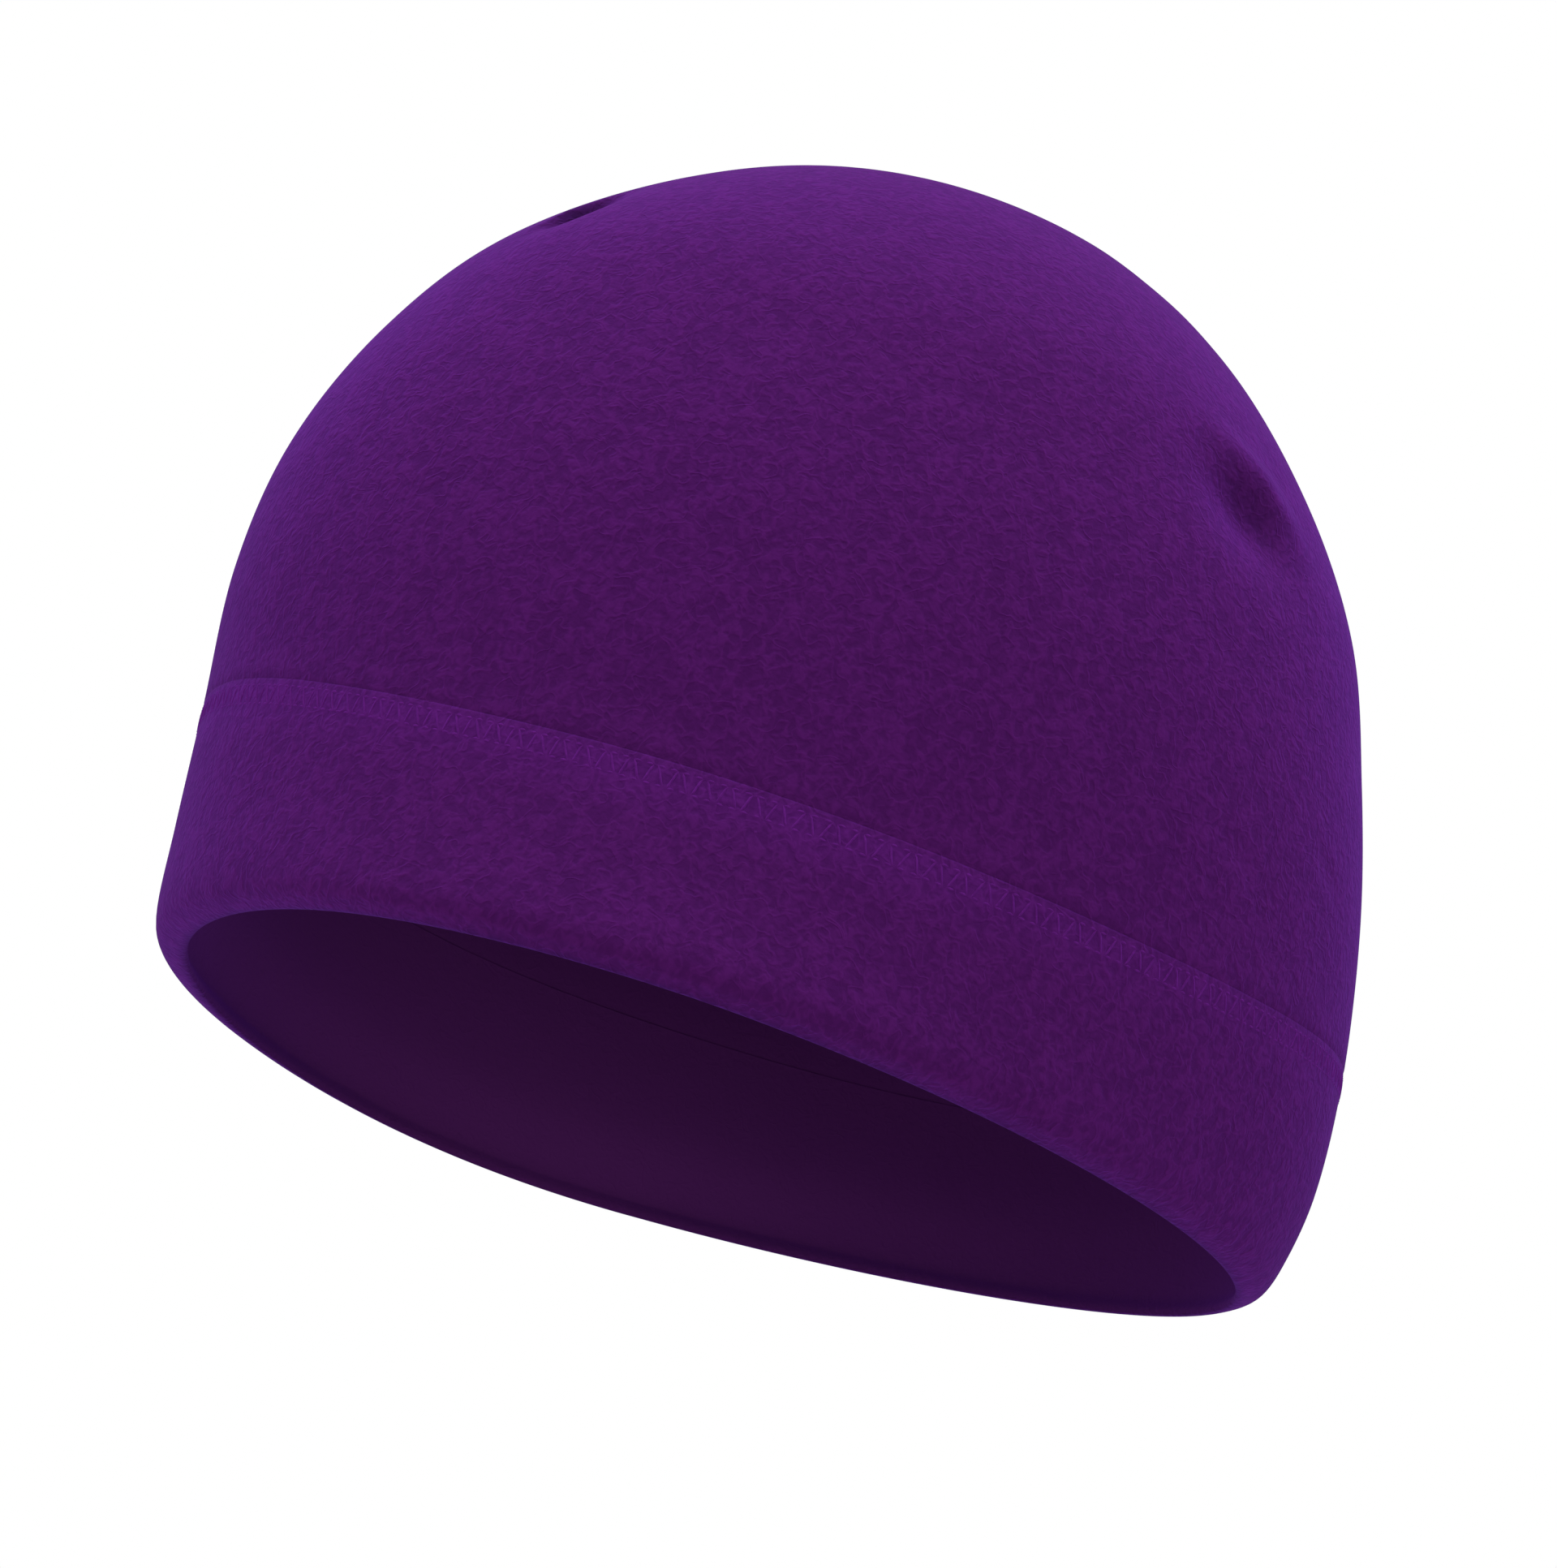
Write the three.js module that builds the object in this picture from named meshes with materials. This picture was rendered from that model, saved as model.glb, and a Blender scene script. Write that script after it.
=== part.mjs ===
// A plain fleece skull-cap beanie: a domed crown with three darts at its top, and a deep band of
// the same fleece, folded double at the rim and holding the crown's lower edge between its layers.
// Millimetres. +Z is up through the crown, -Y the wearer's front and +X the wearer's left. The
// origin is the inside of the crown's top, where a head bears. The rim lies in one level plane.
import * as THREE from "three";

// Driving sizes of the worn cap, from the crown's axis out and from the rim up
const capHeight = 191.5;
const frontReach = 112.5;
const backReach = 117;
const sideReach = 91;
const bandFront = 45.5; // height of the band's seam at the front, sides and back
const bandSide = 40;
const bandBack = 47.5;

// The cloth and how the two pieces are joined
const fleece = 2; // one layer
const clearance = 0.3; // between the crown's edge and each layer of the band
const tuckDepth = 7; // how far the crown's edge reaches down into the band
const tuckIn = 1; // how far the crown draws in to pass under the band's outer layer
const tuckRun = 3; // height over which it draws in
const seamLayer = 1.3; // a layer of the band where the stitches press it
const seamRise = 0.3; // how far the band's outer layer stands proud along the seam
const seamRun = 9; // height over which that ridge runs out
const rimCurl = 9; // height over which the outer layer curls under to the fold at the rim
const rimEdge = 0.8; // radius of that fold's inner edge

// The cap's cross-sections, lowest first. up is a share of the band's height in the rows of the
// band and of the rest of the height above the band in the others. front, back and side are
// shares of the three reaches, nape is how much narrower the back half is than the front half,
// and round is the section's squareness, 2 for an ellipse.
const sections = [
  { part: "band", up: 0, front: 0.88, back: 0.96, side: 1.005, nape: 0.17, round: 1.92 },
  { part: "band", up: 0.13, front: 0.927, back: 0.985, side: 1.02, nape: 0.14, round: 1.92 },
  { part: "band", up: 0.5, front: 0.948, back: 1.01, side: 0.995, nape: 0.1, round: 1.98 },
  { part: "band", up: 1, front: 0.972, back: 1, side: 0.975, nape: 0.05, round: 2.05 },
  { part: "crown", up: 0.19, front: 1.001, back: 0.96, side: 0.978, nape: 0.02, round: 2.1 },
  { part: "crown", up: 0.37, front: 0.985, back: 0.9, side: 0.956, nape: 0, round: 2.1 },
  { part: "crown", up: 0.55, front: 0.908, back: 0.824, side: 0.888, nape: 0, round: 2.1 },
  { part: "crown", up: 0.71, front: 0.78, back: 0.695, side: 0.788, nape: 0, round: 2.1 },
  { part: "crown", up: 0.86, front: 0.565, back: 0.522, side: 0.59, nape: 0, round: 2.05 },
  { part: "crown", up: 0.96, front: 0.32, back: 0.315, side: 0.345, nape: 0, round: 2 },
  { part: "crown", up: 1, front: 0, back: 0, side: 0, nape: 0, round: 2 },
];
const seamLevel = 3; // the row of sections that the band's seam follows
const topLevel = sections.length - 1;

// The darts, which meet at the top. turn is where each lies round the axis, in degrees from the
// wearer's left towards the back, length is how far down the cloth it ends, and lean is how far the
// fold at that end slopes up from level, in degrees.
const darts = [
  { turn: -69, length: 84, lean: 80 },
  { turn: 44, length: 107, lean: -29 },
  { turn: 167, length: 96, lean: 150 },
];
const dartWidth = 10; // half the width of the valley along a dart
const dartDepth = 0.8;
const fold = { long: 11, wide: 6, deep: 2.4 }; // the hollow that a dart ends in

// The mesh
const columns = 72;
const crownRows = 25;

const degrees = THREE.MathUtils.degToRad;
const turns = Array.from({ length: columns }, (_, i) => degrees((360 * i) / columns));

// The height of the band's seam, from the named heights at the front, sides and back.
function seamHeight(turn) {
  const end = Math.sin(turn) < 0 ? bandFront : bandBack;
  return bandSide + (end - bandSide) * Math.sin(turn) ** 4;
}

// A smooth curve through one column of the sections. level counts rows from the rim, and the top
// row is a turning point: what runs out to nothing there goes on with the other sign.
function along(values, level, overTop) {
  const row = THREE.MathUtils.clamp(Math.floor(level), 0, topLevel - 1);
  const f = level - row;
  const below = row > 0 ? values[row - 1] : 2 * values[0] - values[1];
  const above = row + 2 <= topLevel ? values[row + 2] : overTop * values[topLevel - 1];
  const [a, b] = [values[row], values[row + 1]];
  const slopes = (b - below) * f + (2 * below - 5 * a + 4 * b - above) * f ** 2;
  return 0.5 * (2 * a + slopes + (3 * a - below - 3 * b + above) * f ** 3);
}

function column(name) {
  return sections.map((section) => section[name]);
}

const shape = {
  front: column("front"),
  back: column("back"),
  side: column("side"),
  nape: column("nape"),
  round: column("round"),
};

// A point of the smooth outside, without darts: turn round the axis and level up the sections.
function bareOutside(turn, level) {
  const seam = seamHeight(turn);
  const heights = sections.map(({ part, up }) =>
    part === "band" ? up * seam : seam + up * (capHeight - seam),
  );
  const [s, c] = [Math.sin(turn), Math.cos(turn)];
  const power = 2 / along(shape.round, level, 1);
  const ends = s < 0 ? frontReach * along(shape.front, level, -1) : backReach * along(shape.back, level, -1);
  const side = sideReach * along(shape.side, level, -1) * (1 - along(shape.nape, level, 1) * s);
  return new THREE.Vector3(
    side * Math.sign(c) * Math.abs(c) ** power,
    ends * Math.sign(s) * Math.abs(s) ** power,
    along(heights, level, 1),
  );
}

// The two directions along the outside and the one straight out of it.
function frameAt(turn, level) {
  const step = 0.01;
  const low = Math.min(level, topLevel - 2 * step);
  const up = bareOutside(turn, low + step).sub(bareOutside(turn, low - step)).normalize();
  const across = bareOutside(turn + step, low).sub(bareOutside(turn - step, low)).normalize();
  return { up, across, out: new THREE.Vector3().crossVectors(across, up).normalize() };
}

// The level at which the outside reaches a height over the rim, found by halving.
function levelAt(turn, height) {
  let [low, high] = [0, topLevel];
  for (let i = 0; i < 30; i += 1) {
    const middle = (low + high) / 2;
    if (bareOutside(turn, middle).z < height) low = middle;
    else high = middle;
  }
  return (low + high) / 2;
}

// A smooth hump, 1 at the middle and 0 from one width away.
function hump(distance) {
  return Math.abs(distance) < 1 ? (1 - distance ** 2) ** 2 : 0;
}

// The level of a point on the dome as far from the top, over the cloth, as the given length.
function levelBelowTop(turn, length) {
  let level = topLevel;
  let run = 0;
  let last = bareOutside(turn, level);
  while (run < length) {
    level -= 0.02;
    const next = bareOutside(turn, level);
    run += next.distanceTo(last);
    last = next;
  }
  return level;
}

// The centre of the fold at each dart's end, and the two directions along and across it.
const foldPlaces = darts.map(({ turn, length, lean }) => {
  const level = levelBelowTop(degrees(turn), length);
  const { across, out } = frameAt(degrees(turn), level);
  const run = across.clone().applyAxisAngle(out, degrees(lean));
  return { centre: bareOutside(degrees(turn), level), run, rise: new THREE.Vector3().crossVectors(out, run) };
});

// How deep the darts and their folds press the cloth in at a point of the dome.
function pressedIn(point, level) {
  if (level < seamLevel + 1) return 0;
  const around = Math.atan2(point.y / backReach, point.x / sideReach);
  const reach = Math.hypot(point.x, point.y);
  let deep = 0;
  for (const { turn, length } of darts) {
    const away = Math.atan2(Math.sin(around - degrees(turn)), Math.cos(around - degrees(turn)));
    const sideways = reach * Math.sin(Math.min(Math.abs(away), Math.PI / 2));
    const outward = reach / length;
    const fade = hump(Math.max(0, outward - 0.15) / 0.8) * Math.min(1, 4 * outward);
    const narrowed = Math.min(dartWidth, 0.5 * reach + 0.1);
    if (Math.cos(away) > 0) deep += dartDepth * fade * hump(sideways / narrowed);
  }
  for (const { centre, run, rise } of foldPlaces) {
    const from = point.clone().sub(centre);
    const spread = (from.dot(run) / fold.long) ** 2 + (from.dot(rise) / fold.wide) ** 2;
    if (from.length() < 3 * fold.long) deep += fold.deep * Math.exp(-spread);
  }
  return deep;
}

// A point a given distance outside the cap's smooth outside, moved into the part's frame.
function place(turn, level, outward) {
  const point = bareOutside(turn, level);
  const { out } = frameAt(turn, level);
  if (level > topLevel - 0.001) out.set(0, 0, 1);
  point.addScaledVector(out, outward - pressedIn(point, level));
  point.z -= capHeight - fleece;
  return point;
}

// A closed skin over rings of points that all run round the same way, lowest outside ring first.
// A ring of one point is a pole. Without poles the last ring joins the first.
function skin(rings) {
  const points = rings.flat();
  const starts = rings.map((_, i) => rings.slice(0, i).reduce((sum, ring) => sum + ring.length, 0));
  const faces = [];
  rings.forEach((ring, i) => {
    const next = (i + 1) % rings.length;
    const other = rings[next];
    if (ring.length === 1 && other.length === 1) return;
    for (let j = 0; j < columns; j += 1) {
      const k = (j + 1) % columns;
      const [a, b] = ring.length === 1 ? [starts[i], starts[i]] : [starts[i] + j, starts[i] + k];
      const [c, d] = other.length === 1 ? [starts[next], starts[next]] : [starts[next] + k, starts[next] + j];
      if (a !== b) faces.push(a, b, c);
      if (c !== d) faces.push(a, c, d);
    }
  });
  const geometry = new THREE.BufferGeometry().setFromPoints(points);
  geometry.setIndex(faces);
  geometry.computeVertexNormals();
  return geometry;
}

// The crown: one layer from the tucked edge up to the top and back down inside.
function crownGeometry() {
  const rings = [];
  const shares = Array.from({ length: crownRows }, (_, i) => i / (crownRows - 1));
  const ring = (share, depth) =>
    turns.map((turn) => {
      const edge = seamHeight(turn) - tuckDepth;
      const low = levelAt(turn, edge);
      const level = low + share * (topLevel - 0.18 - low);
      const height = bareOutside(turn, level).z;
      const drawn = tuckIn * (1 - THREE.MathUtils.smoothstep(height, seamHeight(turn), seamHeight(turn) + tuckRun));
      return place(turn, level, -depth - drawn);
    });
  shares.forEach((share) => rings.push(ring(share, 0)));
  rings.push([place(0, topLevel, 0)]);
  rings.push([place(0, topLevel, -fleece)]);
  shares.reverse().forEach((share) => rings.push(ring(share, fleece)));
  return skin(rings);
}

// The band: down the outer layer, round its curl to the fold at the rim, up the inner layer, and
// down and up the slot that the crown's edge stands in.
function bandGeometry() {
  const doubled = 2 * fleece + clearance;
  const slotOut = -tuckIn + clearance;
  const slotIn = -tuckIn - fleece - clearance;
  const down = [0, 0.03, 0.1, 0.21, 0.4, 0.6, 0.8];
  const bows = [0, 25, 48, 70, 90].map(degrees);
  const profile = (turn) => {
    const seam = seamHeight(turn);
    const at = (height, outward) => place(turn, levelAt(turn, height), outward);
    const heights = down.map((share) => seam - share * (seam - rimCurl));
    const ridge = (height) => hump((seam - height) / seamRun);
    const outer = heights.map((height) => at(height, seamRise * ridge(height)));
    const curl = bows.map((bow) => at(rimCurl * (1 - Math.sin(bow)), -(doubled - rimEdge) * (1 - Math.cos(bow))));
    const inner = [...heights, rimCurl / 2, rimEdge].map((height) => {
      const pressed = (doubled + slotIn - seamLayer) * ridge(height);
      return at(height, -doubled + pressed);
    });
    const slot = [
      at(seam, slotIn),
      at(seam - tuckDepth - clearance, slotIn),
      at(seam - tuckDepth - clearance, slotOut),
      at(seam, slotOut),
    ];
    return [...outer, ...curl, ...inner.reverse(), ...slot];
  };
  const profiles = turns.map(profile);
  const rings = profiles[0].map((_, i) => profiles.map((points) => points[i]));
  return skin(rings.reverse());
}

// Purple brushed fleece
function fleeceLook(shade) {
  return new THREE.MeshStandardMaterial({ color: new THREE.Color(shade), roughness: 0.95, metalness: 0 });
}

const beanie = new THREE.Group();
const pieces = [
  { name: "crown", geometry: crownGeometry(), look: fleeceLook("#4a1a66") },
  { name: "band", geometry: bandGeometry(), look: fleeceLook("#4a1a66") },
];
for (const { name, geometry, look } of pieces) {
  const mesh = new THREE.Mesh(geometry, look);
  mesh.name = name;
  beanie.add(mesh);
}

export default beanie;
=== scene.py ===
"""A plain fleece skull-cap beanie in its worn shape: a domed crown with three darts and a deep folded
band, joined by a flatlock seam.

Sizes are in millimetres until a mesh is made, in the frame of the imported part: +Z up through the crown,
-Y the wearer's front, +X the wearer's left, and the origin at the inside of the crown's top.
"""

import math

import bpy
import numpy as np
from mathutils import Matrix, Vector


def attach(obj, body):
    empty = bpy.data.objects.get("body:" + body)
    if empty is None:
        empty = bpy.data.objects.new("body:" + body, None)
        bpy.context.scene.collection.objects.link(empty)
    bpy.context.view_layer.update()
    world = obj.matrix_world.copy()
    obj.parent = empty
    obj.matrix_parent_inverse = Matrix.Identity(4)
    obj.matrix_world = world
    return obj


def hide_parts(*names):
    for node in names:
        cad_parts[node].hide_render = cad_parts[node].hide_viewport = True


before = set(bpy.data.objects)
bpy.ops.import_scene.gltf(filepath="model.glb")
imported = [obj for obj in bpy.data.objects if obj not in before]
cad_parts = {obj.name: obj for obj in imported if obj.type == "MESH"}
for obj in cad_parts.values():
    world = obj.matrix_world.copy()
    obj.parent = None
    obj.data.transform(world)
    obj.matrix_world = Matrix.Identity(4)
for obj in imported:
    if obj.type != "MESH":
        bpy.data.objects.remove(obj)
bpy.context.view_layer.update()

# Driving sizes of the worn cap
MM = 0.001
cap_height = 191.5
front_reach = 112.5
back_reach = 117.0
side_reach = 91.0
band_front = 47.3
band_side = 40.0
band_back = 47.5

# The cloth, and how far the crown's edge is tucked into the band's slot and drawn in there. It comes back
# out over tuck_run above the seam on its outer side and over tuck_ease on its inner side
fleece = 2.0
clearance = 0.1
inner_clearance = 0.05
tuck_depth = 7.0
tuck_in = 0.25
tuck_run = 1.0
tuck_ease = 14.0

# The band's upper edge: its lip sinks a little over seam_lip, its inner layer is pressed against the crown
# over inner_run, leaving seam_layer of cloth, and a painted highlight lightens its outside over seam_glow,
# less at the back
lip_sink = 0.1
seam_lip = 0.8
seam_layer = 0.05
inner_run = 26.0
seam_glow = 13.0
back_glow_loss = 0.55

# The rim: how high the outer layer's curl starts, more at the back, the small round of the fold, and the
# share of shade on its turned edge
rim_curl = 7.0
rim_curl_lean = 2.0
rim_edge = 0.8
rim_shade = 0.6

# Cross-sections, lowest first: share of the band's height or of the rest above it, shares of the
# front, back and side reaches, how much narrower the back half is, and the squareness
sections = np.array([
    # up    front  back   side   nape  round
    [0.00, 0.886, 0.960, 1.005, 0.17, 1.92],
    [0.13, 0.927, 0.985, 1.020, 0.14, 1.92],
    [0.50, 0.948, 1.010, 0.995, 0.10, 1.98],
    [1.00, 0.972, 1.000, 0.975, 0.05, 2.05],
    [0.19, 1.001, 0.960, 0.978, 0.02, 2.10],
    [0.37, 0.985, 0.900, 0.956, 0.00, 2.10],
    [0.55, 0.908, 0.824, 0.888, 0.00, 2.10],
    [0.71, 0.780, 0.695, 0.788, 0.00, 2.10],
    [0.86, 0.565, 0.522, 0.590, 0.00, 2.05],
    [0.96, 0.320, 0.315, 0.345, 0.00, 2.00],
    [1.00, 0.000, 0.000, 0.000, 0.00, 2.00],
])
share_up, share_front, share_back, share_side, nape, squareness = sections.T
seam_level = 3
top_level = len(sections) - 1

# The darts, which meet at the top: where each lies, in degrees from the wearer's left towards the
# back, how far down the cloth it ends, and how far the fold at its end slopes up from level. Then
# half the fold's length, the widths of the hollow below it and of the puff above, and its slope
darts = np.array([
    # turn  length  lean   half  hollow  puff  slope
    [-62.0, 90.5, 80.0, 7.5, 4.8, 0.4, 1.50],
    [44.0, 109.0, -29.0, 12.0, 10.0, 6.0, 0.66],
    [167.0, 97.0, 150.0, 11.0, 9.0, 3.5, 0.50],
])
dart_width = 10.0
dart_depth = 0.25

# Where a dart's valley is deepest and how long it fades, as shares of the dart, and how far a fold reaches
dart_middle = 0.15
dart_fade = 0.8
fold_range = 40.0

# The shadowed nap in a fold: its place and width as shares of the hollow's, and the slope where it is full
shade_place = 0.3
shade_width = 0.46
shade_slope = 1.5

# Shallow creases of the worn crown: turn and height over the rim of each end, width and depth
worn_creases = [
    (55.0, 77.0, 66.0, 69.0, 3.5, 0.35),
    (38.0, 68.0, 50.0, 60.0, 4.0, 0.30),
    (-20.0, 66.0, -34.0, 72.0, 5.0, 0.22),
]

# The flatlock seam: bars across it and a row of short stitches along each of its sides. The thread's middle
# lies under the outside by its sink, and by its dip more where it goes into the cloth
bar_count = 310
bar_top = 1.4
bar_bottom = 5.0
bar_sink = 0.08
bar_dip = 0.16
row_sink = 0.22
row_dip = 0.12
thread_radius = 0.25


# The shape of the cap

def seam_height(turn):
    """Height of the band's seam over the rim: the side's, rising with the fourth power of the sine of the
    turn to the front's or the back's."""
    ends = np.where(np.sin(turn) < 0, band_front, band_back)
    return band_side + (ends - band_side) * np.sin(turn) ** 4


def along(values, level, over_top):
    """Catmull-Rom curve through one column of the sections: on each span the cubic through its two rows with
    the slopes of their neighbours. The rim's row is carried on straight, and the row past the top is
    over_top times the one below it."""
    values = np.asarray(values, float)
    values = values.reshape(len(values), *[1] * (level.ndim + 1 - values.ndim), *values.shape[1:])
    padded = np.concatenate([2 * values[:1] - values[1:2], values, over_top * values[-2:-1]])
    padded = np.broadcast_to(padded, (len(padded), *level.shape))
    row = np.clip(np.floor(level).astype(int), 0, top_level - 1)
    below, a, b, above = (np.take_along_axis(padded, row[None] + k, 0)[0] for k in range(4))
    f = level - row
    slopes = (b - below) * f + (2 * below - 5 * a + 4 * b - above) * f**2
    return 0.5 * (2 * a + slopes + (3 * a - below - 3 * b + above) * f**3)


def bare_outside(turn, level):
    """The outside without darts: a superellipse at each level, its reach the front's or the back's on Y and
    the side's on X, less towards the nape, its height between rim, seam and top by the level's share."""
    turn, level = np.broadcast_arrays(np.asarray(turn, float), np.asarray(level, float))
    seam = seam_height(turn)
    rows = np.arange(len(share_up)).reshape(-1, *[1] * turn.ndim)
    up = share_up.reshape(rows.shape)
    heights = np.where(rows <= seam_level, up * seam, seam + up * (cap_height - seam))
    s, c = np.sin(turn), np.cos(turn)
    power = 2 / along(squareness, level, 1)
    ends = np.where(
        s < 0,
        front_reach * along(share_front, level, -1),
        back_reach * along(share_back, level, -1),
    )
    side = side_reach * along(share_side, level, -1) * (1 - along(nape, level, 1) * s)
    return np.stack([
        side * np.sign(c) * np.abs(c) ** power,
        ends * np.sign(s) * np.abs(s) ** power,
        along(heights, level, 1),
    ], -1)


def unit(vectors):
    """Each vector divided by its length."""
    return vectors / np.maximum(np.linalg.norm(vectors, axis=-1, keepdims=True), 1e-9)


def frame_at(turn, level):
    """Directions up, across and straight out of the outside, from differences over a hundredth of a step."""
    step = 0.01
    low = np.minimum(level, top_level - 2 * step)
    up = unit(bare_outside(turn, low + step) - bare_outside(turn, low - step))
    across = unit(bare_outside(turn + step, low) - bare_outside(turn - step, low))
    return up, across, unit(np.cross(across, up))


def level_at(turn, height):
    """The level at which the outside reaches a height over the rim, found by halving."""
    turn, height = np.broadcast_arrays(np.asarray(turn, float), np.asarray(height, float))
    low = np.zeros(turn.shape)
    high = np.full(turn.shape, float(top_level))
    for _ in range(30):
        middle = (low + high) / 2
        under = bare_outside(turn, middle)[..., 2] < height
        low = np.where(under, middle, low)
        high = np.where(under, high, middle)
    return (low + high) / 2


def level_below_top(turn, length):
    """The level as far below the top, over the cloth, as the given length: distances between fine steps,
    summed."""
    levels = top_level - 0.02 * np.arange(500)
    points = bare_outside(np.full(levels.shape, turn), levels)
    run = np.concatenate([[0], np.cumsum(np.linalg.norm(np.diff(points, axis=0), axis=1))])
    return float(np.interp(length, run, levels))


def hump(distance):
    """1 at the middle and 0 from one width away: the square of 1 minus the distance squared."""
    return np.clip(1 - distance**2, 0, None) ** 2


def smooth_step(value, low, high):
    """0 below low, 1 above high, and 3 t^2 - 2 t^3 between."""
    t = np.clip((value - low) / (high - low), 0, 1)
    return t * t * (3 - 2 * t)


def fold_places():
    """Centre, run and rise directions of the fold at each dart's end, and its sizes."""
    places = []
    for row in darts:
        turn, lean = np.radians(row[0]), math.radians(row[2])
        level = np.array(level_below_top(turn, row[1]))
        _, across, out = frame_at(np.array(turn), level)
        run = across * math.cos(lean) + np.cross(out, across) * math.sin(lean)
        places.append((bare_outside(turn, level), run, np.cross(out, run), row[3:]))
    return places


fold_list = fold_places()


def fold_offsets(point):
    """For each fold the points' distances along and across it, which of them it reaches, and its sizes."""
    for centre, run, rise, sizes in fold_list:
        offset = point - centre
        yield offset @ run, offset @ rise, np.linalg.norm(offset, axis=-1) < fold_range, sizes


def pressed_in(point, level):
    """How far the darts press the cloth in: along each a shallow valley that fades out at the dart's end,
    and at that end a fold: the distance across it times a Gaussian, a hollow below it and a puff above."""
    around = np.arctan2(point[..., 1] / back_reach, point[..., 0] / side_reach)
    reach = np.hypot(point[..., 0], point[..., 1])
    deep = np.zeros(around.shape)
    for turn, length in zip(np.radians(darts[:, 0]), darts[:, 1]):
        away = np.arctan2(np.sin(around - turn), np.cos(around - turn))
        sideways = reach * np.sin(np.minimum(np.abs(away), math.pi / 2))
        outward = reach / length
        fade = hump(np.maximum(0, outward - dart_middle) / dart_fade) * np.minimum(1, 4 * outward)
        valley = dart_depth * hump(sideways / np.minimum(dart_width, 0.5 * reach + 0.1))
        deep += valley * fade * (np.cos(away) > 0)
    for beside, over, near, (half, hollow, puff, slope) in fold_offsets(point):
        wide = np.where(over > 0, puff, hollow)
        deep -= slope * over * near * np.exp(-((beside / half) ** 2) - (over / wide) ** 2)
    return deep * (level >= seam_level + 1)


def folded(point):
    """Share of shadowed nap in each dart's fold: a Gaussian round the middle of its hollow's steep side."""
    share = np.zeros(point.shape[:-1])
    for beside, over, near, (half, hollow, _, slope) in fold_offsets(point):
        across = (over + shade_place * hollow) / (shade_width * hollow)
        share += near * slope / shade_slope * np.exp(-((beside / half) ** 2) - across**2)
    return share


def creased(turn, point):
    """Depth of the worn creases: a hump across each crease's line, fading to both of its ends."""
    deep = np.zeros(turn.shape)
    for turn_a, height_a, turn_b, height_b, wide, most in worn_creases:
        ends = np.array([math.radians(turn_a), math.radians(turn_b)])
        a, b = bare_outside(ends, level_at(ends, np.array([height_a, height_b])))
        line = b - a
        share = (point - a) @ line / (line @ line)
        nearest = a + np.clip(share, 0, 1)[..., None] * line
        sideways = np.linalg.norm(point - nearest, axis=-1)
        deep += most * hump(sideways / wide) * hump(2 * np.clip(share, 0, 1) - 1)
    return deep


def place(turn, level, outward):
    """A point a given distance outside the cap's outside, in the part's frame."""
    turn, level = np.broadcast_arrays(np.asarray(turn, float), np.asarray(level, float))
    point = bare_outside(turn, level)
    _, _, out = frame_at(turn, level)
    out = np.where((level > top_level - 0.001)[..., None], np.array([0.0, 0.0, 1.0]), out)
    inward = pressed_in(point, level) + creased(turn, point) - outward
    point = point - out * inward[..., None]
    point[..., 2] -= cap_height - fleece
    return point


# Meshes

def ring_faces(rings, columns):
    """Quads between each ring of points and the next, all the way round."""
    i = np.arange(rings - 1)[:, None] * columns
    j = np.arange(columns)[None]
    k = (j + 1) % columns
    return np.stack([i + j, i + k, i + columns + k, i + columns + j], -1).reshape(-1, 4)


def fan_faces(ring_start, columns, pole, upward):
    """Triangles from a ring to its pole, facing out of the ring's upper or lower side."""
    j = ring_start + np.arange(columns)
    k = ring_start + (np.arange(columns) + 1) % columns
    sides = (j, k) if upward else (k, j)
    return np.stack([*sides, np.full(columns, pole)], -1)


def mesh_piece(name, points, faces, material, shares=()):
    """One object from points in millimetres, lists of faces and named shares for its material, one number to
    a point. It rides on the part's only body."""
    mesh = bpy.data.meshes.new(name)
    loops = np.concatenate([np.asarray(group).reshape(-1) for group in faces])
    sizes = np.concatenate([np.full(len(group), group.shape[1]) for group in faces])
    mesh.vertices.add(len(points))
    mesh.vertices.foreach_set("co", (points * MM).astype(np.float32).reshape(-1))
    mesh.loops.add(len(loops))
    mesh.loops.foreach_set("vertex_index", loops.astype(np.int32))
    mesh.polygons.add(len(sizes))
    mesh.polygons.foreach_set("loop_start", (np.cumsum(sizes) - sizes).astype(np.int32))
    mesh.polygons.foreach_set("use_smooth", np.ones(len(sizes), bool))
    mesh.update(calc_edges=True)
    mesh.validate()
    for label, values in dict(shares).items():
        attribute = mesh.attributes.new(label, "FLOAT", "POINT")
        attribute.data.foreach_set("value", values.astype(np.float32).reshape(-1))
    mesh.materials.append(material)
    piece = bpy.data.objects.new(name, mesh)
    bpy.context.scene.collection.objects.link(piece)
    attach(piece, "root")
    return piece


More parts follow.
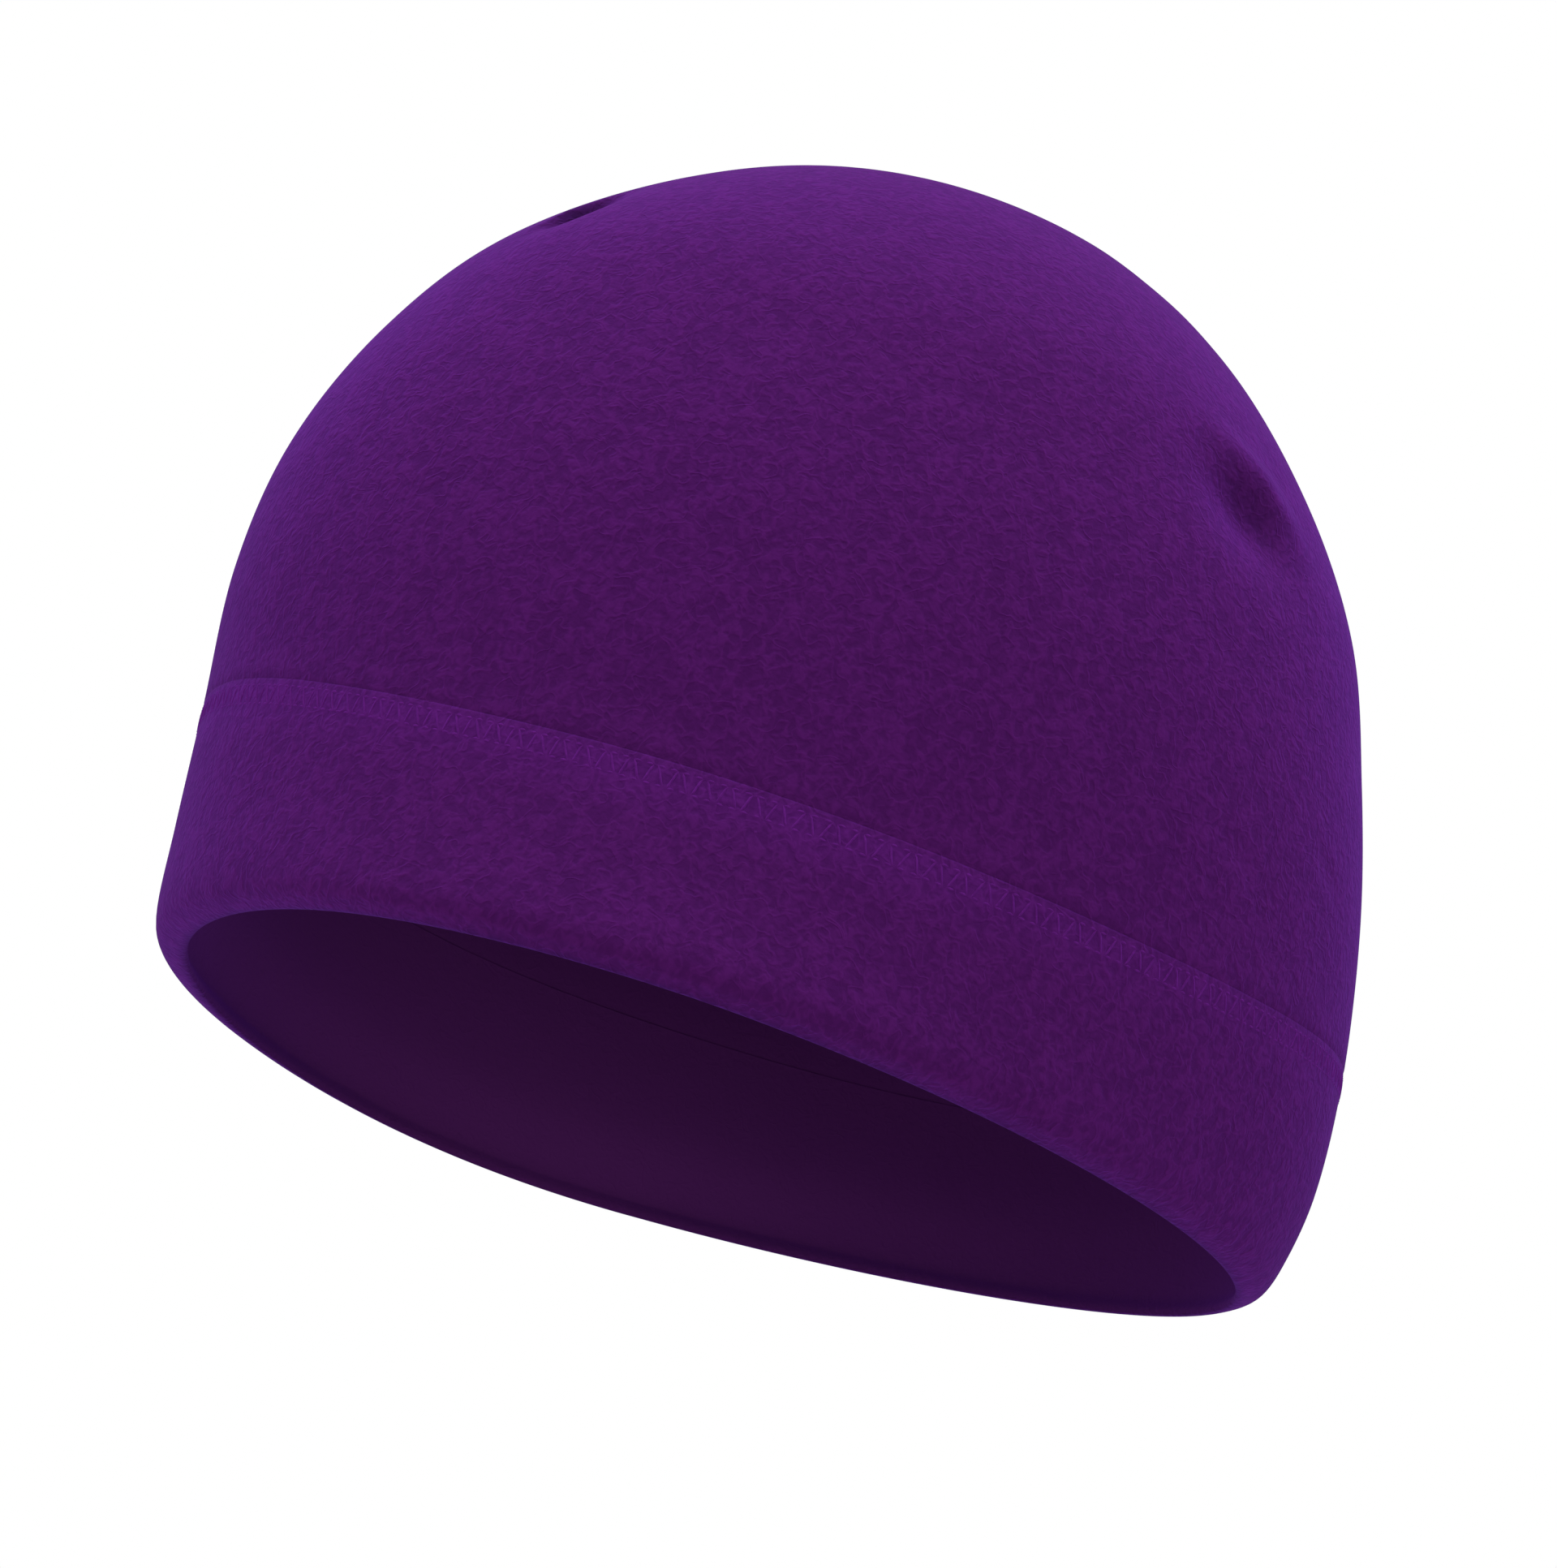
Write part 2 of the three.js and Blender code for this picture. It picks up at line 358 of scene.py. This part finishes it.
def crown_mesh(material):
    """The crown's single layer: rings from the edge tucked into the band up to the pole, and back down
    inside. The last ring lies a small part of a level under the pole."""
    columns = 520
    outer_rows = 128
    inner_rows = 62
    tucked_rows = 16
    pole_gap = 0.06
    turns = 2 * math.pi * np.arange(columns) / columns
    seam = seam_height(turns)
    edge = level_at(turns, seam - tuck_depth)
    clear = level_at(turns, seam + tuck_run)

    def rings(rows, depth, run):
        tucked = edge + np.linspace(0, 1, tucked_rows)[:-1, None] * (clear - edge)
        free = clear + np.linspace(0, 1, rows - tucked_rows + 1)[:, None] * (top_level - pole_gap - clear)
        level = np.concatenate([tucked, free])
        height = bare_outside(turns, level)[..., 2]
        drawn = tuck_in * (1 - smooth_step(height, seam, seam + run))
        return place(turns, level, -depth - drawn)

    outer = rings(outer_rows, 0, tuck_run).reshape(-1, 3)
    # Painted shade in the darts' folds, kept as a share for the material
    shadowed = folded(outer + np.array([0.0, 0.0, cap_height - fleece]))
    inner = rings(inner_rows, fleece, tuck_ease)[::-1].reshape(-1, 3)
    poles = place(np.zeros(2), np.full(2, float(top_level)), np.array([0.0, -fleece]))
    points = np.concatenate([outer, inner, poles])
    first_inner = len(outer)
    last_inner = first_inner + len(inner) - columns
    top, under = len(points) - 2, len(points) - 1
    j = np.arange(columns)
    k = (j + 1) % columns
    faces = [
        ring_faces(outer_rows, columns),
        ring_faces(inner_rows, columns) + first_inner,
        np.stack([last_inner + j, last_inner + k, k, j], -1),
        fan_faces(len(outer) - columns, columns, top, True),
        fan_faces(first_inner, columns, under, False),
    ]
    # Share of the back's colour, which is partly painted light that brightens the dim inside
    within = np.concatenate([np.zeros(len(outer)), np.ones(len(inner)), [0.0, 1.0]])
    shadowed = np.concatenate([shadowed, np.zeros(len(inner) + 2)])
    shares = {"inside": within, "folded": shadowed}
    return mesh_piece("crown_fleece", points, faces, material, shares)


def band_mesh(material):
    """The band, folded double: down its outer layer, which near the rim curls under by a quarter ellipse,
    round the fold's small quarter circle, up the inner layer, and down and up the slot that holds the
    crown's edge. Its rings are made in that order and then turned round, so that the faces look out."""
    columns = 480
    turns = 2 * math.pi * np.arange(columns) / columns
    doubled = 2 * fleece + clearance
    slot_out = -tuck_in + clearance
    slot_in = -tuck_in - fleece - inner_clearance
    seam = seam_height(turns)

    def at(height, outward):
        return place(turns, level_at(turns, height), outward)

    run = np.concatenate([np.linspace(0, 0.2, 16), np.linspace(0.2, 1, 22)[1:-1]])[:, None]
    curled = rim_curl + rim_curl_lean * np.sin(turns)
    heights = seam - run * (seam - curled)
    lip = smooth_step(seam - heights, 0, seam_lip)
    outer = at(heights, -lip_sink * (1 - lip))
    bow = np.radians(np.linspace(0, 90, 16))[:, None] + 0 * turns
    curl = at(curled * (1 - np.sin(bow)), -(doubled - rim_edge) * (1 - np.cos(bow)))
    turned = np.radians(np.linspace(0, 90, 6))[1:, None] + 0 * turns
    edge = at(rim_edge * (1 - np.cos(turned)), -doubled + rim_edge * (1 - np.sin(turned)))
    climb = np.append(np.linspace(0, 1, 34)[1:-1], (0.998, 1.0))[:, None]
    inner_heights = seam - (1 - climb**1.3) * (seam - rim_edge)
    pressed = (doubled + slot_in - seam_layer) * hump((seam - inner_heights) / inner_run)
    inner = at(inner_heights, -doubled + pressed)
    slot = np.stack([
        at(seam, np.full(columns, slot_in)),
        at(seam - tuck_depth - clearance, np.full(columns, slot_in)),
        at(seam - tuck_depth - clearance, np.full(columns, slot_out)),
        at(seam, np.full(columns, slot_out)),
    ])
    under_seam = seam - heights
    # Painted highlight: a strip of the band's outside under the seam, lightest at the seam, fading downwards
    # and weaker at the back
    seam_highlight = np.clip(1 - under_seam / seam_glow, 0, 1) ** 1.2 * smooth_step(under_seam, -0.8, 2.4)
    seam_highlight = seam_highlight * (1 - back_glow_loss * smooth_step(np.sin(turns), 0.1, 0.8))
    rest = len(curl) + len(edge) + len(inner) + len(slot)
    raised = np.concatenate([seam_highlight, np.zeros((rest, columns))])[::-1]
    plain = np.zeros((len(outer) + len(curl), columns))
    past = np.ones((rest - len(curl) - len(edge), columns))
    within = np.concatenate([plain, np.sin(turned), past])[::-1]
    shade_in = rim_shade * smooth_step(bow, math.radians(58), math.radians(86))
    shade_out = rim_shade * np.cos(turned)
    shadowed = np.concatenate([plain[:len(outer)], shade_in, shade_out, 0 * past])[::-1]
    rings = np.concatenate([outer, curl, edge, inner, slot])[::-1]
    faces = ring_faces(len(rings), columns)
    j = np.arange(columns)
    k = (j + 1) % columns
    last = (len(rings) - 1) * columns
    closing = np.stack([last + j, last + k, k, j], -1)
    # Its shares: "raised" is the painted highlight under the seam, "folded" the painted shade on the rim's
    # turned edge, "inside" the back's colour with its painted light
    return mesh_piece(
        "band_fleece", rings.reshape(-1, 3), [faces, closing], material,
        {"raised": raised, "inside": within, "folded": shadowed},
    )


def thread_loop(share, below, lift, sides=6):
    """A closed tube of thread: a circle carried along the path and square to it. share is the way round,
    below the distance under the seam and lift the height over the band's outside."""
    turns = 2 * math.pi * share
    level = level_at(turns, seam_height(turns) - below)
    path = place(turns, level, lift)
    _, _, out = frame_at(turns, level)
    ahead = unit(np.roll(path, -1, 0) - np.roll(path, 1, 0))
    sideways = unit(np.cross(ahead, out))
    raised = np.cross(sideways, ahead)
    angle = 2 * math.pi * np.arange(sides) / sides
    circle = np.cos(angle)[:, None] * raised[:, None] + np.sin(angle)[:, None] * sideways[:, None]
    points = (path[:, None] + thread_radius * circle).reshape(-1, 3)
    count = len(path)
    i = np.arange(count)[:, None] * sides
    after = (np.arange(count)[:, None] + 1) % count * sides
    j = np.arange(sides)[None]
    k = (j + 1) % sides
    return points, np.stack([i + j, i + k, after + k, after + j], -1).reshape(-1, 4)


def seam_stitches(material):
    """The flatlock seam: a thread that swings across it in steep bars, two to a turn of a clipped cosine,
    and along each side of the bars a row of short stitches that dip into the cloth between them."""
    steps = 12
    share = np.arange(bar_count // 2 * steps) / (bar_count // 2 * steps)
    swing = np.clip(1.15 * np.cos(2 * math.pi * share * (bar_count // 2)), -1, 1)
    middle, half = (bar_top + bar_bottom) / 2, (bar_bottom - bar_top) / 2
    loops = [thread_loop(share, middle + half * swing, -bar_sink - bar_dip * swing**4)]
    steps = 7
    share = np.arange(bar_count * steps) / (bar_count * steps)
    dip = np.cos(2 * math.pi * share * bar_count)
    for row in (bar_top, bar_bottom):
        loops.append(thread_loop(share, np.full(share.shape, row), -row_sink - row_dip * dip))
    starts = np.cumsum([0] + [len(points) for points, _ in loops])
    faces = np.concatenate([group + start for (_, group), start in zip(loops, starts)])
    points = np.concatenate([points for points, _ in loops])
    return mesh_piece("band_seam_thread", points, [faces], material)


# Materials

def node_group(name, inputs, outputs):
    """An empty shader node group with the named sockets, and its input and output nodes."""
    group = bpy.data.node_groups.new(name, "ShaderNodeTree")
    for socket, kind, value in inputs:
        made = group.interface.new_socket(socket, in_out="INPUT", socket_type=kind)
        if value is not None:
            made.default_value = value
    for socket, kind in outputs:
        group.interface.new_socket(socket, in_out="OUTPUT", socket_type=kind)
    return group, group.nodes.new("NodeGroupInput"), group.nodes.new("NodeGroupOutput")


def add_node(tree, kind, settings=(), **links):
    """A node with its settings, its inputs linked to sockets or set to values by name."""
    node = tree.nodes.new(kind)
    for key, value in dict(settings).items():
        setattr(node, key, value)
    for key, value in links.items():
        socket = node.inputs[int(key[1:])] if key[0] == "_" else node.inputs[key.replace("_", " ")]
        if isinstance(value, bpy.types.NodeSocket):
            tree.links.new(value, socket)
        else:
            socket.default_value = value
    return node


def math_node(tree, operation, a, b=0.0, c=0.0):
    """The result of one Math node."""
    return add_node(tree, "ShaderNodeMath", {"operation": operation}, _0=a, _1=b, _2=c).outputs[0]


def noise_node(tree, position, scale, detail, roughness, distortion):
    """The value of one 3-D Noise node."""
    return add_node(
        tree, "ShaderNodeTexNoise", {"noise_dimensions": "3D"},
        Vector=position, Scale=scale, Detail=detail, Roughness=roughness, Distortion=distortion,
    ).outputs["Fac"]


# How much each of the nap's noises adds to its relief and to its shade
curl_part = 0.16
tuft_part = 0.6
fine_relief = 0.12
clump_relief = 0.8
fine_shade = 0.1
clump_shade = 0.3


def build_nap():
    """The brushed nap: curled tufts along the level lines of a warped noise, softened by a second noise,
    over wider clumps and finer fibres."""
    group, given, result = node_group(
        "brushed nap",
        [
            ("Position", "NodeSocketVector", None),
            ("Tuft", "NodeSocketFloat", 700.0),
            ("Clump", "NodeSocketFloat", 130.0),
        ],
        [("Height", "NodeSocketFloat"), ("Shade", "NodeSocketFloat")],
    )
    position = given.outputs["Position"]
    worm_scale = math_node(group, "MULTIPLY", given.outputs["Tuft"], 0.45)
    worm = noise_node(group, position, worm_scale, 1.0, 0.5, 0.8)
    away = math_node(group, "ABSOLUTE", math_node(group, "SUBTRACT", worm, 0.5))
    curl = add_node(
        group, "ShaderNodeMapRange", {"clamp": True, "interpolation_type": "SMOOTHSTEP"},
        Value=away, From_Min=0.0, From_Max=0.11, To_Min=1.0, To_Max=0.0,
    ).outputs["Result"]
    tuft = noise_node(group, position, given.outputs["Tuft"], 1.5, 0.5, 0.5)
    fine_scale = math_node(group, "MULTIPLY", given.outputs["Tuft"], 2.6)
    fine = noise_node(group, position, fine_scale, 2.0, 0.6, 0.6)
    clump = noise_node(group, position, given.outputs["Clump"], 3.0, 0.55, 0.4)
    softened = math_node(group, "MULTIPLY", tuft, tuft_part)
    raised = math_node(group, "MULTIPLY_ADD", curl, curl_part, softened)
    height = math_node(group, "MULTIPLY_ADD", fine, fine_relief, raised)
    height = math_node(group, "MULTIPLY_ADD", clump, clump_relief, height)
    shade = math_node(group, "MULTIPLY_ADD", clump, clump_shade, raised)
    shade = math_node(group, "MULTIPLY_ADD", fine, fine_shade, shade)
    group.links.new(height, result.inputs["Height"])
    group.links.new(shade, result.inputs["Shade"])
    return group


nap = build_nap()

# Tones of the cloth: a painted highlight on the strip under the seam, painted shade where a fold or the
# rim's turned edge shades it, and the colour of its back, lightened as painted light, whose relief is that
# much smoother
seam_highlight_tone = (1.31, 1.40, 1.48)
fold_shade_tone = (0.22, 0.20, 0.25)
back_colour_and_painted_light = (0.0610, 0.0102, 0.0780)
back_smoothness = 0.7


def fleece_material(name, deep, light, tuft, bump):
    """Brushed fleece: the nap's shade mixes a deep and a light purple, its height feeds the bump, and the
    microfibre sheen stands for the fibre ends."""
    material = bpy.data.materials.new(name)
    material.use_nodes = True
    tree = material.node_tree
    shader = tree.nodes["Principled BSDF"]
    position = add_node(tree, "ShaderNodeTexCoord").outputs["Object"]
    texture = add_node(tree, "ShaderNodeGroup", {"node_tree": nap}, Position=position, Tuft=tuft)
    spread = add_node(
        tree, "ShaderNodeMapRange", {"clamp": True},
        Value=texture.outputs["Shade"], From_Min=0.44, From_Max=0.72, To_Min=0.0, To_Max=1.0,
    ).outputs["Result"]
    colour = add_node(tree, "ShaderNodeMix", {"data_type": "RGBA"}, Factor=spread)
    colour.inputs[6].default_value = (*deep, 1.0)
    colour.inputs[7].default_value = (*light, 1.0)
    tone = colour.outputs[2]
    shares = {}
    # Mixed in by their shares: the seam's painted highlight, the painted shade of the folds and the rim's
    # edge, and the back's colour with its painted light
    tones = (
        ("raised", "MULTIPLY", seam_highlight_tone),
        ("folded", "MULTIPLY", fold_shade_tone),
        ("inside", "MIX", back_colour_and_painted_light),
    )
    for label, blend, factors in tones:
        shares[label] = add_node(tree, "ShaderNodeAttribute", {"attribute_name": label}).outputs["Fac"]
        mixing = {"data_type": "RGBA", "blend_type": blend}
        toned = add_node(tree, "ShaderNodeMix", mixing, Factor=shares[label])
        tree.links.new(tone, toned.inputs[6])
        toned.inputs[7].default_value = (*factors, 1.0)
        tone = toned.outputs[2]
    tree.links.new(tone, shader.inputs["Base Color"])
    shader.inputs["Roughness"].default_value = 0.95
    smoothed = math_node(tree, "MULTIPLY", shares["inside"], back_smoothness)
    brushed = math_node(tree, "SUBTRACT", 1.0, smoothed)
    height = math_node(tree, "MULTIPLY", texture.outputs["Height"], brushed)
    relief = add_node(tree, "ShaderNodeBump", {}, Height=height, Distance=bump, Strength=1.0)
    tree.links.new(relief.outputs["Normal"], shader.inputs["Normal"])
    shader.inputs["Specular IOR Level"].default_value = 0.04
    shader.inputs["Sheen Weight"].default_value = 0.22
    shader.inputs["Sheen Roughness"].default_value = 0.6
    shader.inputs["Sheen Tint"].default_value = (0.36, 0.055, 1.0, 1.0)
    return material


fleece_look = fleece_material(
    "purple fleece", deep=(0.0445, 0.0040, 0.0620), light=(0.0640, 0.0058, 0.0890), tuft=680.0, bump=0.00045
)
# The thread's purple is lighter than the fleece's: painted light that makes up for the shade between its
# bars and rows
thread_look = fleece_material(
    "matching thread", deep=(0.076, 0.0072, 0.116), light=(0.100, 0.0096, 0.154), tuft=1200.0, bump=0.0001
)

crown = crown_mesh(fleece_look)
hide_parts("crown")
band = band_mesh(fleece_look)
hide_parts("band")
thread = seam_stitches(thread_look)


# Floor, light and camera

def soft_light(name, place_m, aim_m, size, power):
    """A square area light that faces its aim."""
    lamp = bpy.data.lights.new(name, "AREA")
    lamp.shape = "SQUARE"
    lamp.size = size
    lamp.energy = power
    holder = bpy.data.objects.new(name, lamp)
    direction = Vector(aim_m) - Vector(place_m)
    turned = direction.to_track_quat("-Z", "Y").to_matrix().to_4x4()
    holder.matrix_world = Matrix.Translation(place_m) @ turned
    bpy.context.scene.collection.objects.link(holder)


def pale_floor():
    """A wide level floor well below the cap, with a faint mottle."""
    mesh = bpy.data.meshes.new("studio_floor")
    half = 12.0
    low = -0.5
    corners = [(-half, -half, low), (half, -half, low), (half, half, low), (-half, half, low)]
    mesh.from_pydata(corners, [], [(0, 1, 2, 3)])
    material = bpy.data.materials.new("pale floor")
    material.use_nodes = True
    tree = material.node_tree
    position = add_node(tree, "ShaderNodeTexCoord").outputs["Object"]
    mottle = noise_node(tree, position, 3.0, 2.0, 0.5, 0.0)
    colour = add_node(tree, "ShaderNodeMix", {"data_type": "RGBA"}, Factor=mottle)
    colour.inputs[6].default_value = (0.60, 0.60, 0.60, 1.0)
    colour.inputs[7].default_value = (0.63, 0.63, 0.63, 1.0)
    tree.links.new(colour.outputs[2], tree.nodes["Principled BSDF"].inputs["Base Color"])
    tree.nodes["Principled BSDF"].inputs["Roughness"].default_value = 0.9
    mesh.materials.append(material)
    floor = bpy.data.objects.new("studio_floor", mesh)
    bpy.context.scene.collection.objects.link(floor)


def studio_world():
    """White behind the cap, and a soft grey light that grows from below up and to the wearer's front."""
    world = bpy.data.worlds.new("studio")
    bpy.context.scene.world = world
    world.use_nodes = True
    tree = world.node_tree
    background = tree.nodes["Background"]
    direction = add_node(tree, "ShaderNodeTexCoord").outputs["Generated"]
    upward = add_node(tree, "ShaderNodeVectorMath", {"operation": "DOT_PRODUCT"}, _0=direction)
    upward.inputs[1].default_value = (-0.2, -0.42, 0.885)
    glow = add_node(
        tree, "ShaderNodeMapRange", {"clamp": True},
        Value=upward.outputs["Value"], From_Min=-0.3, From_Max=1.0, To_Min=0.45, To_Max=0.97,
    ).outputs["Result"]
    seen = add_node(tree, "ShaderNodeLightPath").outputs["Is Camera Ray"]
    strength = add_node(tree, "ShaderNodeMix", {"data_type": "FLOAT"}, Factor=seen)
    tree.links.new(glow, strength.inputs[2])
    strength.inputs[3].default_value = 1.0
    tree.links.new(strength.outputs[0], background.inputs["Strength"])
    background.inputs["Color"].default_value = (1.0, 1.0, 1.0, 1.0)


def photo_camera():
    """A long lens below the rim, looking up at the wearer's left side, and rolled. The lens fits a frame of
    1919 by 1932 pixels."""
    frame_high = 1932
    focal_pixels = 6460.0
    sensor = 36.0
    azimuth = math.radians(88.5)
    elevation = math.radians(-17.5)
    roll = math.radians(18.0)
    look = Vector((0.0, -0.0016, -0.1195))
    toward = Vector((
        math.sin(azimuth) * math.cos(elevation),
        -math.cos(azimuth) * math.cos(elevation),
        math.sin(elevation),
    ))
    right = (-toward).cross(Vector((0, 0, 1))).normalized()
    upright = right.cross(-toward)
    across = right * math.cos(roll) + upright * math.sin(roll)
    up = upright * math.cos(roll) - right * math.sin(roll)
    turned = Matrix((across, up, toward)).transposed().to_4x4()
    data = bpy.data.cameras.new("photo_camera")
    data.sensor_width = sensor
    data.lens = focal_pixels * sensor / frame_high
    data.clip_end = 50.0
    camera = bpy.data.objects.new("photo_camera", data)
    camera.matrix_world = Matrix.Translation(look + toward) @ turned
    bpy.context.scene.collection.objects.link(camera)
    bpy.context.scene.camera = camera


pale_floor()
studio_world()
soft_light("overhead_softbox", place_m=(0.3, -0.06, 1.1), aim_m=(0.0, 0.0, 0.0), size=0.9, power=14.0)
soft_light("back_fill", place_m=(0.6, 0.9, -0.3), aim_m=(0.0, 0.0, -0.15), size=0.6, power=2.5)
soft_light("front_fill", place_m=(0.3, -1.0, -0.3), aim_m=(0.0, 0.0, -0.15), size=0.6, power=2.4)
photo_camera()
bpy.context.scene.view_settings.view_transform = "Standard"
